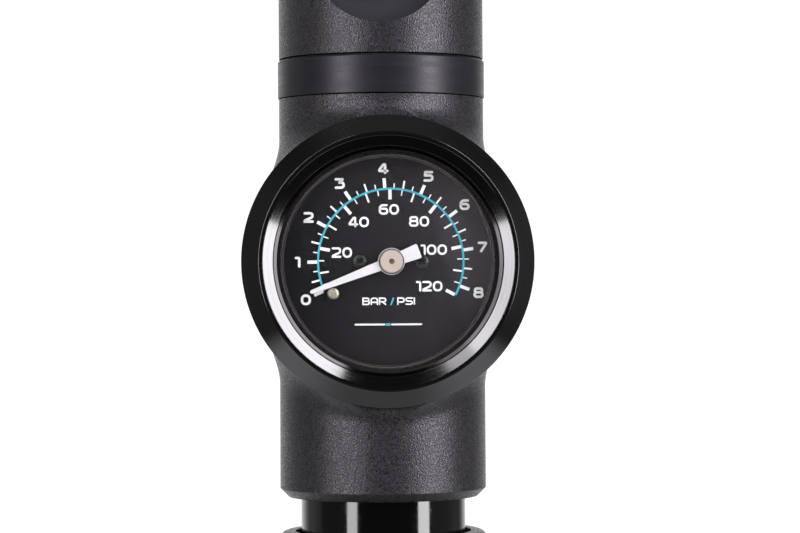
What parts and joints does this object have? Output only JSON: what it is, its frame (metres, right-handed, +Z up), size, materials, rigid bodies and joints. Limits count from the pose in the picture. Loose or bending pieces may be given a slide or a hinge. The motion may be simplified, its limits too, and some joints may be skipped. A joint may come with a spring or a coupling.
{
  "type": "shock suspension pump",
  "caption": "Slim hand pump for suspension forks and shocks: a sliding handle over a barrel, a round dial gauge in the head, a bleed button and a swivelling hose port.",
  "frame": {"origin": "centre of the flat end of the handle, with the handle pushed home", "axes": "+Z up the pump's axis to the hose port; -Y is the front, where the gauge faces; +X to the right seen from the front"},
  "size_m": [0.039, 0.0312, 0.238],
  "materials": {
    "body_plastic": "fine spark-eroded texture, dark grey",
    "ring_plastic": "satin black moulding",
    "barrel_black": "gloss black anodised tube",
    "bezel_black": "gloss black turned ring",
    "aluminium": "machined",
    "steel": "plain",
    "swivel_metal": "nickel-plated, turned",
    "brass": "machined",
    "seal_rubber": "black nitrile",
    "grip_rubber": "matte black grip",
    "gasket": "brown-grey gasket",
    "lens": "clear window",
    "dial_black": "gloss black",
    "screw_black": "blackened",
    "needle_white": "white enamel",
    "hub_beige": "beige moulding",
    "button_plastic": "dark grey moulding"
  },
  "bodies": {
    "pump_body": {"gauge_body": "body_plastic", "head_cap": "body_plastic", "collar_ring": "ring_plastic", "barrel": "barrel_black", "air_manifold": "aluminium", "barrel_seal": "seal_rubber", "valve_block": "aluminium", "riser_seal": "seal_rubber", "check_seat": "brass", "check_spring": "steel", "rod_guide": "ring_plastic", "rod_wiper": "seal_rubber", "stop_bumper": "seal_rubber", "gauge_case": "steel", "gauge_socket": "brass", "gauge_seal": "seal_rubber", "bourdon_tube": "brass", "movement_frame": "brass", "movement_screws": "steel", "hairspring": "steel", "dial_plate": "dial_black", "dial_screws": "screw_black", "stop_pin": "steel", "dial_spacer": "dial_black", "lens_gasket": "gasket", "gauge_lens": "lens", "bezel": "bezel_black", "bleed_bush": "brass", "bleed_spring": "steel", "swivel_retainer": "steel"},
    "handle": {"handle_sleeve": "ring_plastic", "handle_lip": "ring_plastic", "handle_grip": "grip_rubber", "handle_end_cap": "ring_plastic", "rod_anchor": "steel", "rod_bumper": "seal_rubber", "piston_rod": "aluminium", "piston": "aluminium", "piston_seal": "seal_rubber", "piston_nut": "steel"},
    "pointer": {"needle": "needle_white", "needle_hub": "hub_beige", "needle_arbor": "brass", "pinion": "brass"},
    "sector": {"sector_gear": "brass", "sector_pins": "steel"},
    "link": {"drive_link": "steel"},
    "hose_swivel": {"swivel_outlet": "swivel_metal", "swivel_seal": "seal_rubber"},
    "bleed": {"bleed_button": "button_plastic", "bleed_pin": "steel", "bleed_seal": "seal_rubber"},
    "check_valve": {"check_poppet": "seal_rubber"}
  },
  "joints": [
    {"name": "handle_slide", "type": "slide", "parent": "pump_body", "child": "handle", "axis": [0, 0, -1], "range_m": [0, 0.1]},
    {"name": "sector_swing", "type": "hinge", "parent": "pump_body", "child": "sector", "pos_m": [0.0005, -0.0065, 0.1554], "axis": [0, -1, 0], "range_deg": [0, 32.71], "stiffness_Nm_per_rad": 0.002, "springref_deg": -5.73},
    {"name": "needle_turn", "type": "hinge", "parent": "pump_body", "child": "pointer", "pos_m": [0.0005, -0.0119, 0.165], "axis": [0, 1, 0], "range_deg": [0, 229]},
    {"name": "link_pivot", "type": "hinge", "parent": "sector", "child": "link", "pos_m": [0.00227, -0.0076, 0.15274], "axis": [0, 1, 0], "range_deg": [0, 32.71]},
    {"name": "swivel_turn", "type": "hinge", "parent": "pump_body", "child": "hose_swivel", "pos_m": [0, 0, 0.22], "axis": [0, 0, 1], "continuous": true},
    {"name": "bleed_press", "type": "slide", "parent": "pump_body", "child": "bleed", "axis": [0, 1, 0], "range_m": [0, 0.0015], "stiffness_N_per_m": 800, "springref_m": -0.0006, "deforming": ["bleed_spring"]},
    {"name": "check_lift", "type": "slide", "parent": "pump_body", "child": "check_valve", "axis": [0, 0, 1], "range_m": [0, 0.0008], "stiffness_N_per_m": 200, "springref_m": -0.0004, "deforming": ["check_spring"]}
  ],
  "couplings": [
    {"joint": "needle_turn", "follows": "sector_swing", "ratio": 7},
    {"joint": "link_pivot", "follows": "sector_swing", "ratio": 1}
  ]
}
